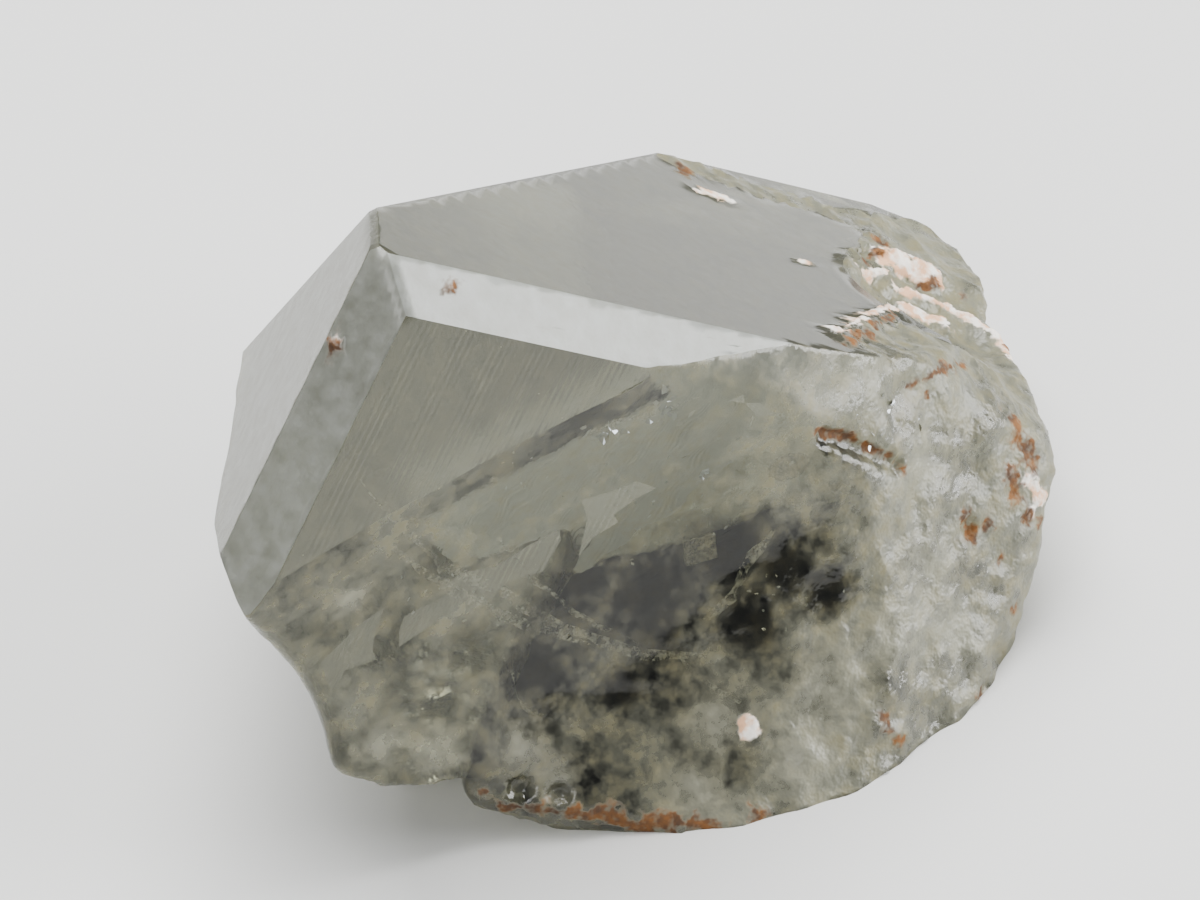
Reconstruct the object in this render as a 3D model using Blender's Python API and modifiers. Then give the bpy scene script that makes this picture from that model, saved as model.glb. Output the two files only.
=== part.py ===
"""Goshenite crystal, a colourless beryl broken from its matrix, as one solid.

The crystal is made the way the real one came about. First the perfect crystal: a six-sided
prism with its flat end, its pyramid faces and its leaning stance. Then the stone that was left
after it broke: a lump bounded by rough breaks, with shell-shaped scoops taken out of it. What
both share is the specimen. It rests on a flat ground under it, with its origin at the middle
of its base.
"""
import math

import bmesh
import bpy
from mathutils import Matrix, Vector, noise

MM = 0.001
NAME = "goshenite_crystal"

# Stance: the long axis leans this far from upright, towards this compass angle (X is 0, Y is 90)
LEAN = 32.0
LEAN_TOWARDS = 36.0
TWIST = -8.0

# The flat faces: angle round the long axis, angle from its tip, distance from the heart in mm
CRYSTAL_FACES = {
    "end face": (0, 0, 10.2),
    "left front prism": (-150, 90, 31.8),
    "left prism": (150, 90, 24.3),
    "back prism": (90, 90, 22.0),
    "front pyramid": (-90, 48, 13.1),
    "left pyramid": (150, 48, 24.6),
    "back pyramid": (90, 48, 21.2),
    "corner pyramid": (120, 60, 16.3),
}

# The front prism face ends at the straight rim of the front scoop
FRONT_FACE = (-90, 90, 10.9)
RIM = (-3.0, -13.2, 11.6)
RIM_ALONG = (0.865, 0.46, 0.20)
SCOOP_RADIUS = 36.0
SCOOP_LENGTH = 120.0
SCOOP_DIP = 15.5  # degrees that the scoop turns under at its rim

# The broken sides: compass angle, angle above the horizon, distance from the heart in mm
BREAKS = {
    "front right wall": (-42, 22, 12.0),
    "right shoulder": (8, 42, 15.1),
    "right brow": (24, 14, 29.0),
    "right flank": (-25, 0, 22.3),
    "right back": (15, -20, 28.6),
    "low right": (-20, -40, 30.8),
    "low right front": (-53, -11, 24.2),
    "low front": (-75, -25, 25.9),
    "low left front": (-95, -35, 26.2),
    "low left": (-170, -30, 25.6),
    "under front": (-50, -60, 28.2),
    "under left": (-139, -63, 24.2),
    "left corner": (194, -15, 27.9),
    "left end": (180, -26, 22.6),
    "back shoulder": (70, 30, 30.0),
    "high right back": (45, 45, 25.5),
    "right back wall": (40, 0, 36.5),
    "low back": (100, -30, 26.8),
    "low right back": (45, -30, 35.4),
    "below": (0, -90, 21.0),
}
GROUND = (0, -90, 19.0)  # the flat that it stands on

# The front left tip stands clear of the ground: what is below the plane and left of the wall goes
TIP_UNDERSIDE = (0, 78, -15.6)
TIP_WALL = (0, 0, -11.8)

# Smaller bites: middle, direction of the long side, half width, half length in mm
BITES = {
    "left notch": ((-32.3, -25.6, -8.3), (0.0, 0.77, -0.64), 12.4, 60.0),
    "lip groove": ((-6.8, -21.3, -13.6), (0.97, 0.24, 0.0), 2.6, 8.0),
    "shoulder hollow": ((24.4, 17.8, 2.2), (0.9, 0.1, -0.4), 10.0, 14.0),
    "rust pit": ((14.4, -4.9, 1.1), (0.68, 0.35, -0.62), 1.7, 4.2),
}

REACH = 60.0   # larger than the crystal, the half side of the block that is cut down
TOUCH = 1e-7   # metres, points nearer than this are one
EGG_STEPS = 5  # how finely a scoop's egg is divided

# Grid of the rough surface in mm, how its steps are softened, and the share of its faces kept
GRID = 0.7
SOFTENING = 8         # rounds
SOFTENING_SHARE = 0.5  # of the way to the neighbours' mean, each round
KEPT_FACES = 0.36

# Relief of the broken sides: width of the lumps and how high they stand, in mm
LUMPS = (13.0, 0.9)
RIDGES = (6.0, 0.55)
RIDGES_AWAY = (7.0, 1.0, 3.0)  # reads the ridges at another place of the noise than the lumps
GRAIN = (2.6, 0.22)
GLASSY_SHARE = 0.12  # part of the relief that the smooth front scoop keeps
GLASSY_FROM = -2.0   # along the front prism, mm from the heart
ROUGH_FROM = 13.0
ROUGH_BACK = (0.0, 8.0)    # behind the heart, mm
ROUGH_UNDER = (0.3, 0.8)   # how far the surface looks down, 1 is straight down

# Finish of the stone
BERYL_COLOUR = (0.62, 0.63, 0.54, 1.0)
BERYL_ROUGHNESS = 0.12
BERYL_IOR = 1.58


def stance():
    """Turns the crystal's own axes to the world."""
    lean = Matrix.Rotation(math.radians(LEAN), 3, "Y")
    towards = Matrix.Rotation(math.radians(LEAN_TOWARDS), 3, "Z")
    twist = Matrix.Rotation(math.radians(TWIST), 3, "Z")
    return towards @ lean @ twist


def face_normal(around, from_tip):
    """World direction that a crystal face looks in."""
    a = math.radians(around)
    t = math.radians(from_tip)
    own = Vector((math.sin(t) * math.cos(a), math.sin(t) * math.sin(a), math.cos(t)))
    return stance() @ own


def compass(angle, up):
    """World direction from a compass angle and an angle above the horizon."""
    a = math.radians(angle)
    e = math.radians(up)
    return Vector((math.cos(e) * math.cos(a), math.cos(e) * math.sin(a), math.sin(e)))


def cleave(name, cuts):
    """A block cut down by planes, each a direction and a distance in mm from the middle."""
    bm = bmesh.new()
    bmesh.ops.create_cube(bm, size=2 * REACH * MM)
    for direction, distance in cuts:
        found = bmesh.ops.bisect_plane(
            bm,
            geom=bm.verts[:] + bm.edges[:] + bm.faces[:],
            dist=TOUCH,
            plane_co=direction * distance * MM,
            plane_no=direction,
            clear_outer=True,
        )
        rim = [item for item in found["geom_cut"] if isinstance(item, bmesh.types.BMEdge)]
        bmesh.ops.holes_fill(bm, edges=rim, sides=0)
    bmesh.ops.recalc_face_normals(bm, faces=bm.faces)
    mesh = bpy.data.meshes.new(name)
    bm.to_mesh(mesh)
    bm.free()
    return bpy.data.objects.new(name, mesh)


def scoop(name, middle, axis, width, length):
    """A long egg that takes a shell-shaped bite; its long side runs along the axis."""
    bm = bmesh.new()
    bmesh.ops.create_icosphere(bm, subdivisions=EGG_STEPS, radius=1.0)
    along = Vector(axis).to_track_quat("Z", "Y").to_matrix().to_4x4()
    size = Matrix.Diagonal((width * MM, width * MM, length * MM, 1.0))
    place = Matrix.Translation(Vector(middle) * MM)
    bmesh.ops.transform(bm, matrix=place @ along @ size, verts=bm.verts)
    mesh = bpy.data.meshes.new(name)
    bm.to_mesh(mesh)
    bm.free()
    return bpy.data.objects.new(name, mesh)


def front_frame():
    """Outward, sideways and downward directions of the front face at the scoop's rim."""
    out = face_normal(*FRONT_FACE[:2])
    along = Vector(RIM_ALONG).normalized()
    return out, along, along.cross(out).normalized()


def front_scoop():
    """The big shell-shaped break under the front prism face."""
    out, along, down = front_frame()
    dip = math.radians(SCOOP_DIP)
    facing = out * math.cos(dip) + down * math.sin(dip)
    middle = Vector(RIM) + facing * SCOOP_RADIUS
    return scoop("front scoop", middle, along, SCOOP_RADIUS, SCOOP_LENGTH)


def front_plane():
    """What lies outside the front prism face, above the rim of the scoop."""
    out, _, down = front_frame()
    return cleave("front prism", [(-out, -FRONT_FACE[2]), (down, Vector(RIM).dot(down))])


def planes(table):
    """Directions and distances of broken sides."""
    return [(compass(angle, up), distance) for angle, up, distance in table]


def cutters():
    """The scoops and the step that the breaks left in the stone."""
    bites = [scoop(name, *sizes) for name, sizes in BITES.items()]
    return [front_scoop(), *bites, cleave("tip step", planes([TIP_UNDERSIDE, TIP_WALL]))]


def link(obj, collection, hidden=False):
    """Puts an object in its collection; a cutter is shown as wires and left out of renders."""
    collection.objects.link(obj)
    obj.hide_render = hidden
    obj.display_type = "WIRE" if hidden else "TEXTURED"
    return obj


def boolean(obj, other, operation):
    """Joins a cutter to an object as a live Boolean."""
    modifier = obj.modifiers.new(other.name, "BOOLEAN")
    modifier.operation = operation
    modifier.solver = "EXACT"
    modifier.object = other


def apply_modifiers(obj):
    """Swaps an object's mesh for what its modifiers make of it."""
    bpy.context.view_layer.update()
    evaluated = obj.evaluated_get(bpy.context.evaluated_depsgraph_get())
    mesh = bpy.data.meshes.new_from_object(evaluated)
    obj.modifiers.clear()
    obj.data = mesh


def smoothstep(value, low, high):
    t = min(max((value - low) / (high - low), 0.0), 1.0)
    return t * t * (3.0 - 2.0 * t)


def relief(point):
    """Height in mm of the broken surface over its mean, at a point given in mm."""
    lumps = noise.noise(point / LUMPS[0]) * LUMPS[1]
    ridges = (0.5 - abs(noise.noise(point / RIDGES[0] + Vector(RIDGES_AWAY)))) * RIDGES[1]
    grain = noise.noise(point / GRAIN[0]) * GRAIN[1]
    return lumps + ridges + grain


def roughen(obj):
    """Moves the stone's surface in and out; the front scoop stays nearly smooth."""
    axes = stance()
    along = axes @ Vector((1, 0, 0))
    back = axes @ Vector((0, 1, 0))
    bm = bmesh.new()
    bm.from_mesh(obj.data)
    bm.normal_update()
    moves = []
    for vert in bm.verts:
        point = vert.co / MM
        rough = max(
            smoothstep(point.dot(along), GLASSY_FROM, ROUGH_FROM),
            smoothstep(point.dot(back), *ROUGH_BACK),
            smoothstep(-vert.normal.z, *ROUGH_UNDER),
        )
        share = GLASSY_SHARE + (1.0 - GLASSY_SHARE) * rough
        moves.append(vert.normal * relief(point) * share * MM)
    for vert, move in zip(bm.verts, moves):
        vert.co += move
    bm.to_mesh(obj.data)
    bm.free()


def beryl():
    """Clear colourless beryl with a glassy polish."""
    material = bpy.data.materials.new("clear beryl")
    material.use_nodes = True
    shader = material.node_tree.nodes["Principled BSDF"]
    shader.inputs["Base Color"].default_value = BERYL_COLOUR
    shader.inputs["Roughness"].default_value = BERYL_ROUGHNESS
    shader.inputs["Metallic"].default_value = 0.0
    shader.inputs["IOR"].default_value = BERYL_IOR
    return material


def stand(obj):
    """Moves the crystal so that the middle of its base is the origin."""
    corners = [vert.co for vert in obj.data.vertices]
    low = Vector([min(corner[i] for corner in corners) for i in range(3)])
    high = Vector([max(corner[i] for corner in corners) for i in range(3)])
    foot = Vector(((low.x + high.x) / 2, (low.y + high.y) / 2, low.z))
    obj.data.transform(Matrix.Translation(-foot))


def main():
    for old in list(bpy.data.objects):
        bpy.data.objects.remove(old)
    scene = bpy.context.scene.collection
    parts = bpy.data.collections.new("goshenite crystal")
    tools = bpy.data.collections.new("cutters")
    scene.children.link(parts)
    scene.children.link(tools)

    faces = [(face_normal(a, t), d) for a, t, d in CRYSTAL_FACES.values()]
    habit = link(cleave("perfect crystal", faces + planes([GROUND])), tools, hidden=True)

    stone = link(cleave(NAME, planes(BREAKS.values())), parts)
    for cutter in cutters():
        boolean(stone, link(cutter, tools, hidden=True), "DIFFERENCE")
    grid = stone.modifiers.new("grid", "REMESH")
    grid.mode = "VOXEL"
    grid.voxel_size = GRID * MM
    soften = stone.modifiers.new("soften", "SMOOTH")
    soften.factor = SOFTENING_SHARE
    soften.iterations = SOFTENING
    apply_modifiers(stone)
    roughen(stone)
    thin = stone.modifiers.new("thin", "DECIMATE")
    thin.ratio = KEPT_FACES
    boolean(stone, habit, "INTERSECT")
    boolean(stone, link(front_plane(), tools, hidden=True), "DIFFERENCE")
    apply_modifiers(stone)
    stand(stone)
    stone.data.materials.clear()
    stone.data.materials.append(beryl())


main()
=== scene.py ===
# %% [markdown]
# # Goshenite crystal: the looks
#
# Goshenite is colourless beryl. This specimen is about 54 mm wide: a six-sided crystal with flat
# natural faces on its left, broken on its right and below, with rust and chalk in the cracks.
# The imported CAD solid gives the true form. This script gives it the surface of the real stone:
# satin crystal faces, a glassy shell-shaped break with a clear window in it, cloudy etched
# sides, and the flaws that show inside.

# %% Load the frame
import math
import random

import bmesh
import bpy
import numpy as np
from mathutils import Matrix, Vector, noise
from mathutils.bvhtree import BVHTree


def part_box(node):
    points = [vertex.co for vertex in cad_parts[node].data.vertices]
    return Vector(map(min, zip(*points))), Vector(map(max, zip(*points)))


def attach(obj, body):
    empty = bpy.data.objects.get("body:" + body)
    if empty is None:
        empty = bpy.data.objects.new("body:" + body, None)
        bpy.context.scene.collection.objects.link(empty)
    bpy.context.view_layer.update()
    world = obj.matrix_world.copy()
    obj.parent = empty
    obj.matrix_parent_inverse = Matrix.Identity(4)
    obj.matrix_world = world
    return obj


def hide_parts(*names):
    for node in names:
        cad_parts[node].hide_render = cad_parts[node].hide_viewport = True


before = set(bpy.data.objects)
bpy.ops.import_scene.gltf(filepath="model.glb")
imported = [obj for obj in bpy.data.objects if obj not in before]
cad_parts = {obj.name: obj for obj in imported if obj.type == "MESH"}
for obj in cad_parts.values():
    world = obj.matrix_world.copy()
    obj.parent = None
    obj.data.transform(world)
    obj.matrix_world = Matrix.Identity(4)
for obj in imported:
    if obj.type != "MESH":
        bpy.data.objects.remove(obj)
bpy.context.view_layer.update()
MM = 0.001
NODE = "goshenite_crystal"
low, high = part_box(NODE)
print("crystal", [round(side / MM, 1) for side in high - low], "mm")

# %% [markdown]
# ## The camera
#
# The photograph looks down on the crystal from a little under arm's length with a long lens.
# Eight crystal faces were fitted to it, which gives the view: 40 degrees down, 450 mm away, and
# a picture 72 mm wide at the middle of the view. The camera comes first, because the marks on the
# crystal are placed by where the photograph shows them.

# %% Camera
PHOTO = (1200, 900)        # pixels
VIEW_DOWN = math.radians(40.0)
VIEW_AWAY = 450.0 * MM
VIEW_WIDTH = 72.0 * MM
PIXEL = VIEW_WIDTH / PHOTO[0]
AIM = Vector((-2.92, -26.54, 36.0)) * MM  # what the middle of the picture looks at
SENSOR = 36.0

camera_data = bpy.data.cameras.new("camera")
camera_data.sensor_width = SENSOR
camera_data.lens = SENSOR * VIEW_AWAY / VIEW_WIDTH
camera_data.clip_start = 0.01
camera = bpy.data.objects.new("camera", camera_data)
bpy.context.scene.collection.objects.link(camera)
camera.location = AIM + VIEW_AWAY * Vector((0, -math.cos(VIEW_DOWN), math.sin(VIEW_DOWN)))
camera.rotation_euler = (math.pi / 2 - VIEW_DOWN, 0, 0)
bpy.context.scene.camera = camera
bpy.context.view_layer.update()
print("lens", round(camera_data.lens), "mm")


def sight(x, y):
    """Direction from the camera through a pixel of the photograph."""
    across = (x - PHOTO[0] / 2) * PIXEL
    up = (PHOTO[1] / 2 - y) * PIXEL
    return (camera.matrix_world.to_3x3() @ Vector((across, up, -VIEW_AWAY))).normalized()


# %% [markdown]
# ## The stone's mesh
#
# The CAD solid has large flat faces and a coarse rough side. A copy of it is merged, and every
# long edge is split until the triangles are small enough to carry fine relief. The flat faces
# are found by the directions that they face. Only the broken surface gets ridges and pits. Crust
# and the crest of the shoulder may also raise a flat face where they lie on it.

# %% Small helpers
LEAN = math.radians(32.0)      # how far the long axis leans from upright
TOWARDS = math.radians(36.0)   # which way it leans, round the vertical
TWIST = math.radians(-8.0)     # how the six sides are turned round the long axis


def crystal_direction(around, from_tip):
    """World direction of a crystal face: angle round the long axis, angle from its tip."""
    lean = Matrix.Rotation(LEAN, 3, "Y")
    towards = Matrix.Rotation(TOWARDS, 3, "Z")
    twist = Matrix.Rotation(TWIST, 3, "Z")
    a = math.radians(around)
    t = math.radians(from_tip)
    own = Vector((math.sin(t) * math.cos(a), math.sin(t) * math.sin(a), math.cos(t)))
    return towards @ lean @ twist @ own


def smoothstep(value, start, end):
    t = min(max((value - start) / (end - start), 0.0), 1.0)
    return t * t * (3.0 - 2.0 * t)


LONG_AXIS = crystal_direction(0, 0)
FACES = {
    "end": (0, 0),
    "front prism": (-90, 90),
    "left front prism": (-150, 90),
    "left prism": (150, 90),
    "back prism": (90, 90),
    "front pyramid": (-90, 48),
    "left pyramid": (150, 48),
    "back pyramid": (90, 48),
    "corner pyramid": (120, 60),
}
DIRECTIONS = {name: crystal_direction(*angles) for name, angles in FACES.items()}

# %% Copy the solid and find its flat faces
SAME_PLANE = 0.9995    # cosine between two directions that count as one
SAME_POINT = 1e-7      # metres
ON_FLOOR = 1e-6        # metres

stone_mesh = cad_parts[NODE].data.copy()
stone_mesh.name = "crystal_surface"
bm = bmesh.new()
bm.from_mesh(stone_mesh)
bmesh.ops.remove_doubles(bm, verts=bm.verts, dist=SAME_POINT)
# 0 is the broken surface, 1 up are the crystal faces, and the last number is the rest
kind = bm.faces.layers.int.new("kind")
area = {}
for face in bm.faces:
    for number, (name, direction) in enumerate(DIRECTIONS.items(), 1):
        if face.normal.dot(direction) > SAME_PLANE:
            face[kind] = number
            area[name] = area.get(name, 0.0) + face.calc_area()
    if face.normal.z < -SAME_PLANE and face.calc_center_median().z < ON_FLOOR:
        face[kind] = len(DIRECTIONS) + 1
print("face areas in mm2:", {name: round(a / MM / MM) for name, a in area.items()})

# %% Split long edges
ROUGH_EDGE = 0.65 * MM   # longest edge on the broken surface
FLAT_EDGE = 1.60 * MM    # longest edge inside a flat face
ROUNDS = 5


def halve(edges):
    """Split these edges in the middle and make every face a triangle again."""
    bmesh.ops.subdivide_edges(bm, edges=edges, cuts=1)
    bmesh.ops.triangulate(bm, faces=[face for face in bm.faces if len(face.verts) > 3])


def over_limit(edge):
    flat = all(face[kind] for face in edge.link_faces)
    return edge.calc_length() > (FLAT_EDGE if flat else ROUGH_EDGE)


def split_long_edges(rounds):
    """Halve the edges that are too long, a few rounds over."""
    for _ in range(rounds):
        edges = [edge for edge in bm.edges if over_limit(edge)]
        if not edges:
            return
        halve(edges)


split_long_edges(ROUNDS)
bmesh.ops.recalc_face_normals(bm, faces=bm.faces)
surface = BVHTree.FromBMesh(bm)
print("split to", len(bm.faces), "triangles")

# %% [markdown]
# ## Marks placed by the photograph
#
# Rust, chalk, pits and the clear window are each a few round dabs. A dab is given by the pixel
# where the photograph shows it and by its radius in millimetres. A ray from the camera finds
# where that pixel lies on the stone, so the mark belongs to the surface and holds from any side.

# %% Dabs
TRIES = 12             # how often a ray that misses is moved inwards
INWARD_STEP = 0.01     # share of the way to the middle of the picture
DAB_STEP = 0.6         # distance between the dabs of a stroke, in their radii


def on_stone(x, y):
    """Point and normal of the surface at a pixel of the photograph, or just inside the outline."""
    for step in range(TRIES):
        inward = step * INWARD_STEP
        seen = sight(x + (PHOTO[0] / 2 - x) * inward, y + (PHOTO[1] / 2 - y) * inward)
        point, normal, _, _ = surface.ray_cast(camera.location, seen)
        if point is not None:
            return point, normal
    raise ValueError(f"no stone near pixel {x}, {y}")


def stroke(points, radius):
    """Dabs along a line of pixels, close enough to join."""
    dabs = []
    for (x0, y0), (x1, y1) in zip(points, points[1:]):
        steps = max(1, round(math.hypot(x1 - x0, y1 - y0) * PIXEL / (radius * MM * DAB_STEP)))
        for i in range(steps + 1):
            t = i / steps
            dabs.append((x0 + (x1 - x0) * t, y0 + (y1 - y0) * t, radius))
    return dabs


def how_near(dabs, points):
    """Distance of each point to the nearest dab, counted in that dab's radii."""
    nearest = np.full(len(points), np.inf)
    for x, y, radius in dabs:
        middle = np.array(on_stone(x, y)[0])
        nearest = np.minimum(nearest, np.linalg.norm(points - middle, axis=1) / (radius * MM))
    return nearest


# %% The rough ends of the end face
BROKEN_TOP = (
    stroke([(672, 160), (745, 186), (800, 202), (850, 218)], 1.3)
    + stroke([(880, 232), (930, 240), (975, 265)], 3.0)
    + stroke([(900, 262), (950, 290), (985, 320)], 3.2)
    + stroke([(880, 345), (930, 345), (965, 350)], 2.6)
)
END = list(DIRECTIONS).index("end") + 1
ROUNDS_AGAIN = 2
SMOOTH_ROUNDS = 4
SMOOTHING = {"factor": 0.5, "use_axis_x": True, "use_axis_y": True, "use_axis_z": True}

middles = np.array([face.calc_center_median() for face in bm.faces])
on_end = np.array([face[kind] == END for face in bm.faces])
broken_off = (how_near(BROKEN_TOP, middles) < 1.0) & on_end
for face, is_off in zip(bm.faces, broken_off):
    if is_off:
        face[kind] = 0
split_long_edges(ROUNDS_AGAIN)
free = [v for v in bm.verts if not any(face[kind] for face in v.link_faces)]
for _ in range(SMOOTH_ROUNDS):
    bmesh.ops.smooth_vert(bm, verts=free, **SMOOTHING)
bm.normal_update()
surface = BVHTree.FromBMesh(bm)
print(np.count_nonzero(broken_off), "triangles of the end face are broken")

# %% Where the marks are
CLEAR = [
    (505, 505, 4.2), (560, 475, 4.6), (620, 445, 4.2), (675, 420, 3.4), (600, 530, 5.4),
    (665, 500, 5.0), (700, 460, 3.2), (575, 575, 3.4), (650, 590, 3.6), (730, 545, 3.6),
    (785, 565, 3.0), (825, 590, 2.2), (750, 620, 2.4), (400, 640, 2.2), (470, 650, 2.4),
    (530, 670, 2.4), (440, 705, 1.8), (620, 690, 1.6), (590, 410, 2.4), (440, 560, 2.0),
]
MILKY = [
    (440, 750, 2.2), (520, 745, 2.2), (380, 745, 2.2), (720, 720, 3.0), (830, 690, 3.4),
    (900, 640, 3.4), (930, 560, 3.2), (870, 380, 2.6), (930, 460, 3.0), (745, 727, 1.1),
    (350, 600, 1.6), (700, 790, 2.6), (560, 780, 1.6), (960, 640, 3.0), (800, 760, 3.0),
]
CHALK = (
    stroke([(880, 258), (900, 256), (925, 268), (934, 280)], 0.95)
    + stroke([(905, 270), (925, 280)], 0.8)
    + stroke([(850, 266), (864, 277), (880, 274)], 0.34)
    + stroke([(838, 334), (852, 324), (872, 314), (892, 310)], 0.42)
    + stroke([(902, 312), (925, 320), (944, 326)], 0.55)
    + stroke([(893, 290), (925, 302), (955, 316), (980, 330), (998, 346), (1008, 362)], 0.36)
    + stroke([(1028, 480), (1040, 496)], 0.6)
    + stroke([(700, 192), (726, 198)], 0.55)
    + [(748, 724, 0.7), (336, 342, 0.45), (1030, 512, 0.4), (1008, 470, 0.4), (800, 262, 0.3)]
)
RUST = (
    stroke([(845, 345), (856, 336), (868, 336)], 0.45)
    + stroke([(872, 330), (892, 318)], 0.35)
    + stroke([(916, 290), (934, 288)], 0.42)
    + stroke([(862, 262), (874, 252)], 0.5)
    + stroke([(908, 387), (925, 380), (942, 370)], 0.22)
    + stroke([(944, 368), (966, 363)], 0.34)
    + stroke([(820, 430), (850, 438), (880, 450), (906, 466)], 0.36)
    + stroke([(1012, 420), (1024, 445), (1032, 462)], 0.85)
    + stroke([(1008, 470), (1018, 500), (1025, 520)], 0.6)
    + stroke([(966, 520), (976, 532)], 0.7)
    + stroke([(882, 718), (902, 742)], 0.5)
    + stroke([(610, 818), (640, 826), (672, 822), (712, 828)], 0.8)
    + stroke([(500, 806), (560, 812), (600, 815)], 0.5)
    + [(757, 818, 0.7), (688, 172, 0.8), (980, 692, 0.5), (1014, 608, 0.45), (986, 528, 0.5)]
    + [(1004, 352, 0.4), (880, 238, 0.6), (962, 296, 0.22), (450, 290, 0.6), (480, 792, 0.4)]
    + [(335, 345, 0.6), (930, 395, 0.25), (1000, 560, 0.3), (1040, 520, 0.4)]
)
PITS = (
    stroke([(826, 436), (850, 444), (880, 456), (898, 464)], 0.6)
    + [(970, 526, 0.7), (520, 790, 0.8), (560, 795, 0.7)]
)
CREST = (
    stroke([(885, 285), (935, 306), (962, 320), (985, 334), (1008, 364)], 0.9)
    + stroke([(845, 338), (870, 322), (905, 312), (945, 328)], 0.9)
    + stroke([(850, 268), (895, 262), (930, 282)], 1.1)
)
MARK_EDGE = 0.30 * MM          # longest edge where a mark lies
MARK_REACH = 1.3               # in radii of its dabs
MARK_ROUNDS = 2
RAGGED = 1.1                   # how much noise eats into a dab's edge
RAGGED_WIDTH = 1.0 * MM
RAGGED_NOISE = (0.7, 2.2, 4)   # roughness, step between octaves, octaves


def mark_is_coarse(edges):
    """Which edges are too long for the mark that they lie in."""
    middles = np.array([(edge.verts[0].co + edge.verts[1].co) / 2 for edge in edges])
    lengths = np.array([edge.calc_length() for edge in edges])
    return (how_near(CHALK + RUST + PITS + CREST, middles) < MARK_REACH) & (lengths > MARK_EDGE)


for _ in range(MARK_ROUNDS):
    edges = bm.edges[:]
    halve([edge for edge, is_coarse in zip(edges, mark_is_coarse(edges)) if is_coarse])
bm.normal_update()
bm.verts.index_update()
free = [v for v in bm.verts if not any(face[kind] for face in v.link_faces)]
points = np.array([v.co for v in bm.verts])
eaten = np.array([noise.fractal(v.co / RAGGED_WIDTH, *RAGGED_NOISE) for v in bm.verts]) * RAGGED


def coverage(name, dabs, ragged=1.0, fade=0.7):
    """For every point of the mesh, how fully the dabs cover it, 0 to 1."""
    reach = how_near(dabs, points) + eaten * ragged
    result = np.clip((MARK_REACH - reach) / fade, 0.0, 1.0)
    print(f"{name}: {len(dabs)} dabs cover {np.count_nonzero(result > 0.5)} points")
    return result


clear = coverage("clear window", CLEAR, 0.3, 0.9)
milky = coverage("milky", MILKY, 0.3, 1.3)
chalk = coverage("chalk", CHALK)
rust = coverage("rust", RUST)
pits = coverage("pits", PITS, 0.3)
crest = coverage("crest", CREST, 0.2)
print("refined to", len(bm.faces), "triangles")

# %% [markdown]
# ## Fine relief
#
# Under a lens the broken side is etched into small ridges and pits, while the front scoop is
# nearly polished, with faint ripples like those in a sea shell. The crust stands up from the
# surface by 0.1 to 0.3 mm. Each point moves along its own normal.

# %% Relief
HEART = AIM + Vector((3.0, 24.0, -17.0)) * MM   # about the middle of the crystal
ALONG = crystal_direction(0, 90)      # along the front prism face, to the right
BACK = crystal_direction(90, 90)
RIGHT_ROUGH = (2.0, 15.0)     # mm to the right of the heart where etching starts and is full
BACK_ROUGH = (0.0, 8.0)       # the same, in mm behind the heart
BELOW_ROUGH = (0.3, 0.8)      # the same, by how far a point faces down
RIDGE_WIDTH = 3.2 * MM
RIDGE_HEIGHT = 0.30 * MM
RIDGE_NOISE = (1.0, 2.1, 4, 1.0, 2.0)   # roughness, step between octaves, octaves, offset, gain
RIDGE_LEVEL = 1.0             # height of the noise that leaves the surface where it is
PIT_WIDTH = 2.3 * MM
PIT_DEPTH = 0.20 * MM
PIT_LEVEL = 0.4               # the same for the pits
RIPPLE_WIDTH = 2.4 * MM
RIPPLE_HEIGHT = 0.010 * MM
RIPPLE_PIXEL = (690, 400)     # where the break began
CRUST_HEIGHT = 0.20 * MM
CRUST_WIDTH = 0.6 * MM
CRUST_LEAST = 0.5             # lowest crust, as a share of its height
CREST_HEIGHT = 0.30 * MM
HOLLOW_DEPTH = 0.55 * MM
FACES_DOWN = -0.9             # points of the rest face down this far, and stay where they are
ripple_start = on_stone(*RIPPLE_PIXEL)[0]

free_set = {v.index for v in free}
roughness = np.zeros(len(bm.verts))
moves = []
for v in bm.verts:
    place = v.co - HEART
    rough = max(
        smoothstep(place.dot(ALONG) / MM, *RIGHT_ROUGH),
        smoothstep(place.dot(BACK) / MM, *BACK_ROUGH),
        smoothstep(-v.normal.z, *BELOW_ROUGH),
    )
    roughness[v.index] = rough
    height = CRUST_HEIGHT * chalk[v.index] * (CRUST_LEAST + abs(noise.noise(v.co / CRUST_WIDTH)))
    height += CREST_HEIGHT * crest[v.index]
    if v.index in free_set:
        ridges = noise.ridged_multi_fractal(v.co / RIDGE_WIDTH, *RIDGE_NOISE) - RIDGE_LEVEL
        cells = noise.voronoi(v.co / PIT_WIDTH)[0]
        height += rough * (RIDGE_HEIGHT * ridges + PIT_DEPTH * ((cells[1] - cells[0]) - PIT_LEVEL))
        ripple = math.sin((v.co - ripple_start).length / RIPPLE_WIDTH * math.tau)
        height += (1.0 - rough) * RIPPLE_HEIGHT * ripple
        height -= HOLLOW_DEPTH * pits[v.index]
    elif v.normal.z < FACES_DOWN:
        height = 0.0
    moves.append(v.normal * height)
for v, move in zip(bm.verts, moves):
    v.co += move
bm.normal_update()
print("largest move", round(max(move.length for move in moves) / MM, 2), "mm")

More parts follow.
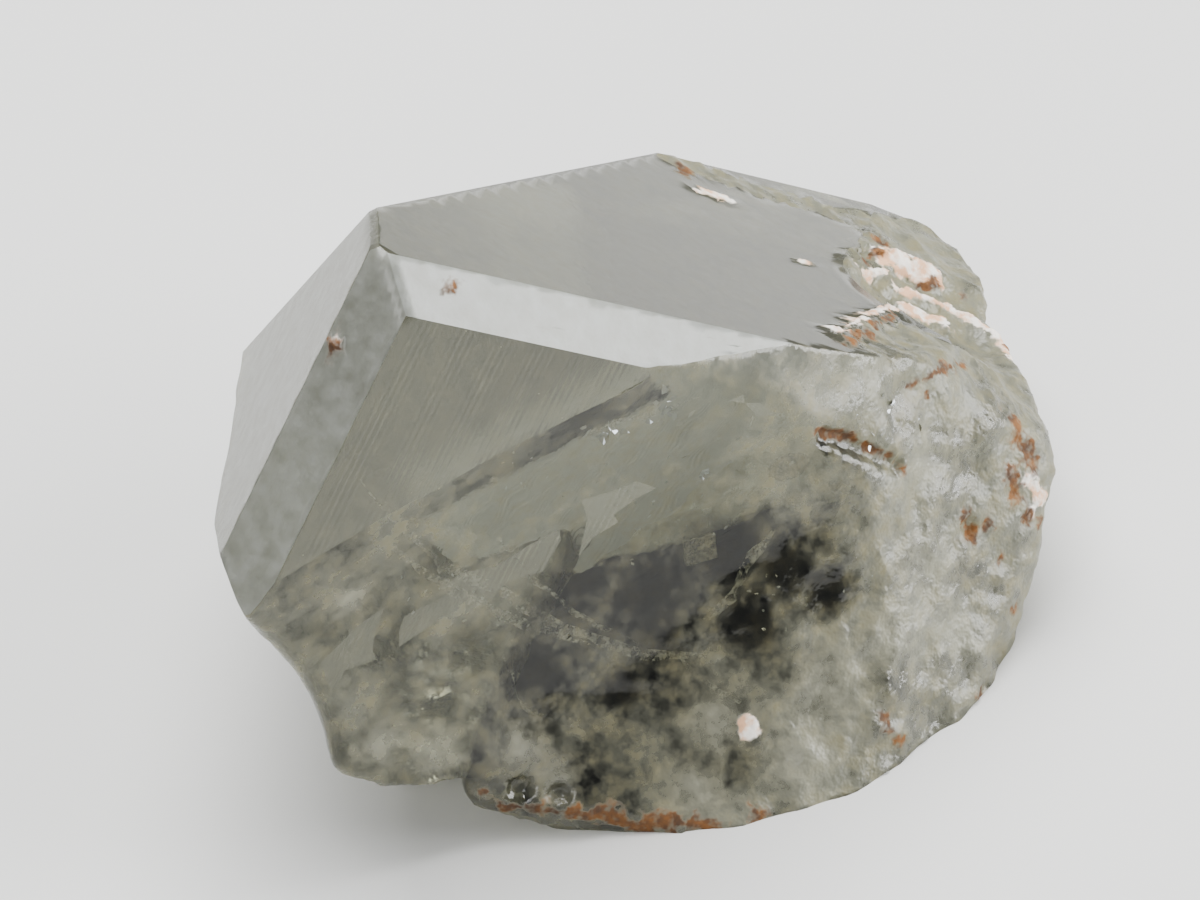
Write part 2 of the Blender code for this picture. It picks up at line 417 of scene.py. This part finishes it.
# %% How cloudy each point is
FROST = {   # how frosted each natural face is, 0 polished to 1 white
    "end": 0.32, "front prism": 0.50, "left front prism": 0.74, "left prism": 0.50,
    "back prism": 0.78, "front pyramid": 0.86, "left pyramid": 0.6, "back pyramid": 0.7,
    "corner pyramid": 0.66,
}
CLOUD_WIDTH = 4.5 * MM
CLOUD_SHARE = 0.40
CLOUD_NOISE = (0.9, 2.1, 4)   # roughness, step between octaves, octaves
CLOUDY_GLASSY = 0.42          # mean of the glassy scoop
CLOUDY_ROUGH = 0.84           # mean of the etched sides
CLOUDY_MILK = 0.85            # least of the milky areas
CLEARING = 0.94               # how much of the frosting the clear window loses
ALONG_AXIS = 0.1              # a face this nearly along the long axis is a prism face
names = list(DIRECTIONS)


def cloudiness(v):
    """How frosted a point of the broken surface is."""
    cloud = noise.fractal(v.co / CLOUD_WIDTH, *CLOUD_NOISE) * CLOUD_SHARE
    base = CLOUDY_GLASSY + (CLOUDY_ROUGH - CLOUDY_GLASSY) * roughness[v.index]
    level = max(base + cloud, CLOUDY_MILK * milky[v.index]) * (1.0 - CLEARING * clear[v.index])
    return min(max(level, 0.0), 1.0)


frosting = []
natural = []
striated = []
for face in bm.faces:
    is_natural = 1 <= face[kind] <= len(names)
    name = names[face[kind] - 1] if is_natural else None
    for loop in face.loops:
        frosting.append(FROST[name] if is_natural else cloudiness(loop.vert))
    is_prism = is_natural and abs(DIRECTIONS[name].dot(LONG_AXIS)) < ALONG_AXIS
    natural.append(1.0 if is_natural else 0.0)
    striated.append(1.0 if is_prism else 0.0)
print(len(frosting), "corners frosted")

# %% Put the surface into an object
SHARP_EDGE = math.radians(35)
masks = {"milky": milky, "chalk": chalk, "rust": rust, "rough": roughness}
bm.to_mesh(stone_mesh)
bm.free()
stone_mesh.materials.clear()
for name, values in masks.items():
    layer = stone_mesh.attributes.new(name, "FLOAT", "POINT")
    layer.data.foreach_set("value", np.clip(values, 0.0, 1.0).astype(np.float32))
for name, values in {"natural": natural, "striated": striated}.items():
    layer = stone_mesh.attributes.new(name, "FLOAT", "FACE")
    layer.data.foreach_set("value", np.array(values, dtype=np.float32))
layer = stone_mesh.attributes.new("frosting", "FLOAT", "CORNER")
layer.data.foreach_set("value", np.array(frosting, dtype=np.float32))
stone_mesh.set_sharp_from_angle(angle=SHARP_EDGE)
crystal = bpy.data.objects.new("crystal", stone_mesh)
bpy.context.scene.collection.objects.link(crystal)
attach(crystal, "root")
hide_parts(NODE)
print("crystal mesh:", len(stone_mesh.polygons), "triangles")

# %% [markdown]
# ## Clear beryl
#
# One material covers the stone. Clean beryl is clear: plain transmission with beryl's refractive
# index of 1.58, and a faint yellow-grey absorption that makes thick parts darker. Etched and
# frosted skin lets less light straight through and scatters the rest as a grey-olive bloom.
# Rust and chalk are opaque and lie on top.

# %% Material helpers
def linear(hex_colour):
    """Linear RGBA from an sRGB hex colour."""
    parts = [int(hex_colour[i:i + 2], 16) / 255 for i in (1, 3, 5)]
    return tuple(c / 12.92 if c <= 0.04045 else ((c + 0.055) / 1.055) ** 2.4 for c in parts) + (1.0,)


def add(tree, kind, inputs=None, **settings):
    """Add a shader node, set its properties, and link or set its inputs."""
    node = tree.nodes.new(kind)
    for name, value in settings.items():
        setattr(node, name, value)
    for name, value in (inputs or {}).items():
        if isinstance(value, bpy.types.NodeSocket):
            tree.links.new(value, node.inputs[name])
        else:
            node.inputs[name].default_value = value
    return node


def maths(tree, operation, a, b=0.0, clamp=False):
    return add(tree, "ShaderNodeMath", {0: a, 1: b}, operation=operation, use_clamp=clamp).outputs[0]


def mix_value(tree, factor, a, b):
    return add(tree, "ShaderNodeMix", {0: factor, 2: a, 3: b}).outputs[0]


def mix_colour(tree, factor, a, b):
    return add(tree, "ShaderNodeMix", {0: factor, 6: a, 7: b}, data_type="RGBA").outputs[2]


def grain(tree, point, size, detail=3.0, rough=0.55):
    """Noise with features of about this size in metres, 0 to 1."""
    return add(tree, "ShaderNodeTexNoise", {
        "Vector": point, "Scale": 1.0 / size, "Detail": detail, "Roughness": rough,
    }).outputs[0]


def ramp(tree, value, start, end):
    return add(tree, "ShaderNodeMapRange", {"Value": value, "From Min": start, "From Max": end}).outputs[0]


def attribute(tree, name):
    return add(tree, "ShaderNodeAttribute", attribute_name=name).outputs["Fac"]


def new_material(name):
    material = bpy.data.materials.new(name)
    material.use_nodes = True
    material.node_tree.nodes.clear()
    return material, material.node_tree


# %% Clear beryl
BERYL_IOR = 1.58
BLOOM = linear("#9a9a89")        # olive-grey scatter of frosted skin
BLOOM_YELLOW = linear("#9b9576")
BLOOM_WHITE = linear("#bfc2be")
MILK = linear("#acab98")
RUST_DARK = linear("#503a28")
RUST_LIGHT = linear("#80572f")
CHALK_WHITE = linear("#e6e1d8")
CHALK_PEACH = linear("#d6ae8e")
INSIDE = (0.70, 0.715, 0.65, 1.0)
DENSITY = 45.0                   # per metre
MOTTLE = 1.2 * MM
MOTTLE_DETAIL = (3.0, 0.62)      # octaves and roughness of its noise
MOTTLE_RANGE = (0.3, 0.7)        # noise at the clearest and at the most frosted patch
MOTTLE_SWING = 0.30              # how far it moves the frosting
SWING_FULL_AT = 0.25             # frosting from which it moves by all of that
SWING_SHARE = (1.0, 0.28)        # share of it on broken and on natural faces
SPECK = 0.4 * MM
CHALK_SPECKS = 0.6               # how much specks add to the edge of the chalk
CHALK_EDGE = (0.55, 0.90)        # where chalk starts and where it is full
RUST_SPECKS = 0.9
RUST_EDGE = (0.65, 1.45)
YELLOW_PATCHES = (0.42, 0.68)    # mottle at which patches start and are full
YELLOW_SHARE = (0.9, 0.3)        # how yellow they are on broken and on natural faces
WHITE_FROST = (0.55, 0.95)       # frosting at which natural faces whiten
PEACH_PATCHES = (0.42, 0.6)
RUST_PATCHES = (0.38, 0.62)
THROUGH = (0.98, 0.38)           # transmission of clear and of frosted skin
GLOSS = (0.03, 0.42)             # roughness of clear and of frosted skin
CRUST_ROUGH = 0.8
STRIA_WIDE = 0.83 * MM
STRIA_FINE = 0.47 * MM
STRIA_SHARE = 0.12               # shares of the bump
ETCH_SHARE = 0.7
FROST_SHARE = 0.3
BUMP_HEIGHT = 0.12 * MM
BUMP_STRENGTH = 0.7

beryl, tree = new_material("clear_beryl")
point = add(tree, "ShaderNodeTexCoord").outputs["Object"]
is_milky = attribute(tree, "milky")
is_chalk = attribute(tree, "chalk")
is_rust = attribute(tree, "rust")
is_rough = attribute(tree, "rough")
is_natural = attribute(tree, "natural")
is_striated = attribute(tree, "striated")
mean_frost = attribute(tree, "frosting")
mottle = grain(tree, point, MOTTLE, *MOTTLE_DETAIL)
specks = grain(tree, point, SPECK, 1.0)

patch = add(tree, "ShaderNodeMapRange", {
    "Value": mottle, "From Min": MOTTLE_RANGE[0], "From Max": MOTTLE_RANGE[1],
    "To Min": -MOTTLE_SWING, "To Max": MOTTLE_SWING,
}).outputs[0]
swing_start = ramp(tree, mean_frost, 0.0, SWING_FULL_AT)
swing = maths(tree, "MULTIPLY", swing_start, mix_value(tree, is_natural, *SWING_SHARE))
frost = maths(tree, "ADD", mean_frost, maths(tree, "MULTIPLY", patch, swing), clamp=True)
chalk_level = maths(tree, "ADD", is_chalk, maths(tree, "MULTIPLY", specks, CHALK_SPECKS))
chalky = ramp(tree, chalk_level, *CHALK_EDGE)
rust_level = maths(tree, "ADD", is_rust, maths(tree, "MULTIPLY", specks, RUST_SPECKS))
rusty = ramp(tree, rust_level, *RUST_EDGE)
crusted = maths(tree, "MAXIMUM", chalky, rusty)

yellow_share = mix_value(tree, is_natural, *YELLOW_SHARE)
yellowed = maths(tree, "MULTIPLY", ramp(tree, mottle, *YELLOW_PATCHES), yellow_share)
bloom = mix_colour(tree, yellowed, BLOOM, BLOOM_YELLOW)
bloom = mix_colour(tree, is_milky, bloom, MILK)
whitened = maths(tree, "MULTIPLY", ramp(tree, frost, *WHITE_FROST), is_natural)
bloom = mix_colour(tree, whitened, bloom, BLOOM_WHITE)
chalk_colour = mix_colour(tree, ramp(tree, mottle, *PEACH_PATCHES), CHALK_WHITE, CHALK_PEACH)
rust_colour = mix_colour(tree, ramp(tree, mottle, *RUST_PATCHES), RUST_DARK, RUST_LIGHT)
colour = mix_colour(tree, rusty, mix_colour(tree, chalky, bloom, chalk_colour), rust_colour)

through = mix_value(tree, crusted, mix_value(tree, frost, *THROUGH), 0.0)
gloss = mix_value(tree, crusted, mix_value(tree, frost, *GLOSS), CRUST_ROUGH)

across = add(tree, "ShaderNodeVectorRotate", {"Vector": point}, rotation_type="EULER_XYZ")
upright = LONG_AXIS.to_track_quat("Z", "Y").to_matrix().inverted().to_euler()
across.inputs["Rotation"].default_value = upright
sideways = add(tree, "ShaderNodeSeparateXYZ", {"Vector": across.outputs[0]})
swing_wide = maths(tree, "SINE", maths(tree, "MULTIPLY", sideways.outputs["X"], math.tau / STRIA_WIDE))
swing_fine = maths(tree, "SINE", maths(tree, "MULTIPLY", sideways.outputs["Y"], math.tau / STRIA_FINE))
striae = maths(tree, "MULTIPLY", swing_wide, swing_fine)
etching = maths(tree, "MULTIPLY", specks, is_rough)
etching = maths(tree, "MULTIPLY", etching, maths(tree, "SUBTRACT", 1.0, is_natural))
relief = maths(tree, "MULTIPLY", striae, maths(tree, "MULTIPLY", is_striated, STRIA_SHARE))
relief = maths(tree, "ADD", relief, maths(tree, "MULTIPLY", etching, ETCH_SHARE))
frost_relief = maths(tree, "MULTIPLY", specks, maths(tree, "MULTIPLY", frost, FROST_SHARE))
relief = maths(tree, "ADD", relief, frost_relief)
bump = add(tree, "ShaderNodeBump", {
    "Height": relief, "Distance": BUMP_HEIGHT, "Strength": BUMP_STRENGTH,
})

shader = add(tree, "ShaderNodeBsdfPrincipled", {
    "Base Color": colour, "Roughness": gloss, "IOR": BERYL_IOR,
    "Transmission Weight": through, "Normal": bump.outputs[0],
})
absorb = add(tree, "ShaderNodeVolumeAbsorption", {"Color": INSIDE, "Density": DENSITY})
add(tree, "ShaderNodeOutputMaterial", {"Surface": shader.outputs[0], "Volume": absorb.outputs[0]})
stone_mesh.materials.append(beryl)

# %% [markdown]
# ## Inside the stone
#
# Healed cracks cross the clear part as thin silvery veils. Each veil is a narrow curved sheet that
# starts just under the surface along a line of pixels and runs down into the stone. Flakes are
# little mirrors where a crack opens, painted near-white so that they show as bright specks: a
# painted glint. Two pale grains lie under the window.

# %% Veils
VEILS = {   # pixels along the top edge, depth of the top edge and width of the sheet in mm
    "veil_main": (
        [(360, 480), (395, 520), (440, 560), (500, 585), (560, 622), (640, 650), (725, 656)], 0.5, 1.3,
    ),
    "veil_upper": ([(500, 540), (530, 572), (575, 610), (640, 645)], 0.5, 0.7),
    "veil_left": ([(385, 500), (420, 540), (450, 580), (484, 606)], 0.4, 0.7),
    "veil_hackle": ([(375, 530), (425, 570), (500, 610), (590, 645)], 0.8, 1.4),
    "veil_branch": ([(680, 655), (705, 680), (745, 702)], 0.4, 0.8),
    "veil_right": ([(705, 620), (735, 590), (745, 560), (775, 530)], 0.8, 1.2),
    "veil_low": ([(505, 655), (520, 700), (545, 715)], 0.4, 0.7),
    # This veil runs along a line of glints, and its white sheet there is a painted glint as well as a
    # crack.
    "veil_glint": ([(590, 432), (620, 420), (660, 412), (700, 398)], 0.4, 0.5),
    "veil_shoulder": ([(850, 395), (880, 410), (915, 400), (935, 385)], 0.4, 0.8),
}
VEIL_SAMPLES = 24
VEIL_STEPS = 5
VEIL_WAVE = 0.35 * MM
VEIL_WAVE_WIDTH = 1.5 * MM
VEIL_WAVE_TOP = 0.3          # share of the wave at the top edge
VEIL_TAPER = 0.5             # power of the curve that narrows a veil towards its ends
VEIL_THREAD = 0.5 * MM
VEIL_PATCH = 1.6 * MM
DEEPER = Vector((0.15, 0.15, -1.0)).normalized()   # how a veil runs down into the stone


def along_pixels(points, count):
    """Evenly spaced pixels along a line of pixels."""
    steps = [math.dist(a, b) for a, b in zip(points, points[1:])]
    result = []
    for i in range(count):
        left = sum(steps) * i / (count - 1)
        for (a, b), step in zip(zip(points, points[1:]), steps):
            if left <= step or b == points[-1]:
                t = min(left / step, 1.0)
                result.append((a[0] + (b[0] - a[0]) * t, a[1] + (b[1] - a[1]) * t))
                break
            left -= step
    return result


def make_piece(name, verts, faces, material):
    mesh = bpy.data.meshes.new(name)
    mesh.from_pydata(verts, [], faces)
    mesh.materials.append(material)
    mesh.shade_smooth()
    obj = bpy.data.objects.new(name, mesh)
    bpy.context.scene.collection.objects.link(obj)
    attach(obj, "root")


veil_material, tree = new_material("crack_veil")
point = add(tree, "ShaderNodeTexCoord").outputs["Object"]
threads = grain(tree, point, VEIL_THREAD, 3.0, 0.65)
patches = grain(tree, point, VEIL_PATCH, 2.0)
cover = maths(tree, "MULTIPLY", ramp(tree, threads, 0.40, 0.60), ramp(tree, patches, 0.30, 0.55))
veil_shader = add(tree, "ShaderNodeBsdfPrincipled", {
    "Base Color": linear("#f0f2ee"), "Roughness": 0.35, "Alpha": cover,
})
add(tree, "ShaderNodeOutputMaterial", {"Surface": veil_shader.outputs[0]})

for name, (pixels, depth, width) in VEILS.items():
    verts = []
    for i, (x, y) in enumerate(along_pixels(pixels, VEIL_SAMPLES)):
        top, normal = on_stone(x, y)
        end_taper = math.sin(math.pi * (i + 0.5) / VEIL_SAMPLES) ** VEIL_TAPER
        for j in range(VEIL_STEPS + 1):
            t = j / VEIL_STEPS
            place = top - normal * depth * MM + DEEPER * width * MM * t * end_taper
            wave = noise.noise_vector(place / VEIL_WAVE_WIDTH) * VEIL_WAVE * (VEIL_WAVE_TOP + t)
            verts.append(place + wave)
    row = VEIL_STEPS + 1
    faces = [
        (i * row + j, i * row + j + 1, (i + 1) * row + j + 1, (i + 1) * row + j)
        for i in range(VEIL_SAMPLES - 1)
        for j in range(VEIL_STEPS)
    ]
    make_piece(name, verts, faces, veil_material)
print(len(VEILS), "veils")

# %% Flakes and grains
FLAKES = [   # pixel, spread in pixels, how many, size in mm, depth in mm
    ((598, 432), 16, 12, 0.75, 0.12), ((675, 415), 30, 20, 0.65, 0.12), ((705, 475), 8, 4, 0.6, 0.15),
    ((640, 500), 90, 30, 0.28, 0.5), ((880, 420), 40, 22, 0.45, 0.10), ((450, 590), 70, 14, 0.30, 0.3),
    ((520, 470), 60, 12, 0.28, 0.4), ((790, 600), 60, 16, 0.30, 0.2), ((745, 440), 40, 10, 0.35, 0.2),
]
GRAINS = {   # pixel, three sizes in mm, depth in mm
    "pale_block": ((705, 554), (2.1, 1.7, 0.8), 1.6),
    "oval_bubble": ((792, 470), (3.0, 1.9, 0.5), 0.9),
}
FLAKE_SEED = 11
FLAKE_CORNERS = 5
FLAKE_LONG = 1.6              # length over width
FLAKE_LEAN = 0.7              # how far a flake may lean from the surface
FLAKE_DEPTHS = (0.6, 1.5)     # in shares of its depth
FLAKE_REACH = (0.35, 1.0)     # in shares of its size
PALE_GRAIN = 0.4 * MM
pick = random.Random(FLAKE_SEED)

# The flakes' near-white colour is a painted glint: they look bright from any side, not only where a lamp
# reflects in them.
painted_glint_material, tree = new_material("crack_glint")
glint = add(tree, "ShaderNodeBsdfPrincipled", {
    "Base Color": linear("#eef3f6"), "Roughness": 0.15, "Specular IOR Level": 0.9,
})
add(tree, "ShaderNodeOutputMaterial", {"Surface": glint.outputs[0]})

verts, faces = [], []
for (x, y), spread, count, size, depth in FLAKES:
    for _ in range(count):
        top, normal = on_stone(x + pick.gauss(0, spread / 2), y + pick.gauss(0, spread / 3))
        middle = top - normal * (depth * pick.uniform(*FLAKE_DEPTHS)) * MM
        turn = Matrix.Rotation(pick.uniform(0, math.tau), 3, normal)
        lean = Vector([pick.uniform(-FLAKE_LEAN, FLAKE_LEAN) for _ in range(3)])
        tilt = (normal + lean).normalized()
        side = (turn @ tilt.orthogonal()).normalized()
        other = tilt.cross(side)
        start = len(verts)
        for k in range(FLAKE_CORNERS):
            a = math.tau * k / FLAKE_CORNERS
            reach = size * MM * pick.uniform(*FLAKE_REACH) * 0.5
            long_way = side * math.cos(a) * reach * FLAKE_LONG
            verts.append(middle + long_way + other * math.sin(a) * reach)
        faces.append(tuple(range(start, start + FLAKE_CORNERS)))
make_piece("glints", verts, faces, painted_glint_material)

grain_material, tree = new_material("pale_inclusion")
point = add(tree, "ShaderNodeTexCoord").outputs["Object"]
grainy = grain(tree, point, PALE_GRAIN, 3.0)
pale = add(tree, "ShaderNodeBsdfPrincipled", {
    "Base Color": linear("#c4c3b4"), "Roughness": 0.5, "Alpha": ramp(tree, grainy, 0.30, 0.62),
})
add(tree, "ShaderNodeOutputMaterial", {"Surface": pale.outputs[0]})
for name, ((x, y), sizes, depth) in GRAINS.items():
    top, normal = on_stone(x, y)
    bm = bmesh.new()
    if name == "pale_block":
        bmesh.ops.create_cube(bm, size=1.0)
    else:
        bmesh.ops.create_icosphere(bm, subdivisions=3, radius=0.5)
    facing = normal.to_track_quat("Z", "Y").to_matrix().to_4x4()
    scale = Matrix.Diagonal((*[size * MM for size in sizes], 1.0))
    bm.transform(Matrix.Translation(top - normal * depth * MM) @ facing @ scale)
    verts = [v.co.copy() for v in bm.verts]
    faces = [tuple(v.index for v in face.verts) for face in bm.faces]
    bm.free()
    make_piece(name, verts, faces, grain_material)
print("glints and grains added")

# %% [markdown]
# ## Floor and light
#
# The floor is plain pale paper. Large soft lights stand above, to the right and in front, and the
# world is a dim grey with a little blue in it.

# %% Floor and light
FLOOR_REACH = 2.0    # metres each way
WORLD_COLOUR = (0.9, 0.93, 1.0, 1.0)
WORLD_STRENGTH = 0.28

floor_mesh = bpy.data.meshes.new("floor")
corners = [(x * FLOOR_REACH, y * FLOOR_REACH, 0) for x, y in ((-1, -1), (1, -1), (1, 1), (-1, 1))]
floor_mesh.from_pydata(corners, [], [(0, 1, 2, 3)])
floor = bpy.data.objects.new("floor", floor_mesh)
bpy.context.scene.collection.objects.link(floor)
paper, tree = new_material("pale_paper")
sheet = add(tree, "ShaderNodeBsdfPrincipled", {"Base Color": linear("#dcdcda"), "Roughness": 0.8})
add(tree, "ShaderNodeOutputMaterial", {"Surface": sheet.outputs[0]})
floor_mesh.materials.append(paper)

world = bpy.data.worlds.new("studio")
world.use_nodes = True
world.node_tree.nodes["Background"].inputs["Color"].default_value = WORLD_COLOUR
world.node_tree.nodes["Background"].inputs["Strength"].default_value = WORLD_STRENGTH
bpy.context.scene.world = world
bpy.context.scene.view_settings.look = "AgX - Medium High Contrast"

MIDDLE = Vector((0, 0, 0.02))
LIGHTS = {   # direction from the stone, distance m, size m, power W
    "top": ((-0.15, 0.25, 0.95), 0.55, 0.45, 5.0),
    "right": ((0.96, 0.05, 0.30), 0.50, 0.35, 3.0),
    "front": ((-0.30, -0.90, 0.55), 0.70, 0.35, 1.6),
}
for name, (direction, away, size, power) in LIGHTS.items():
    light_data = bpy.data.lights.new(name, "AREA")
    light_data.shape = "SQUARE"
    light_data.size = size
    light_data.energy = power
    light = bpy.data.objects.new(name, light_data)
    bpy.context.scene.collection.objects.link(light)
    direction = Vector(direction).normalized()
    light.location = MIDDLE + direction * away
    light.rotation_euler = direction.to_track_quat("Z", "Y").to_euler()
print(len(LIGHTS), "lights")
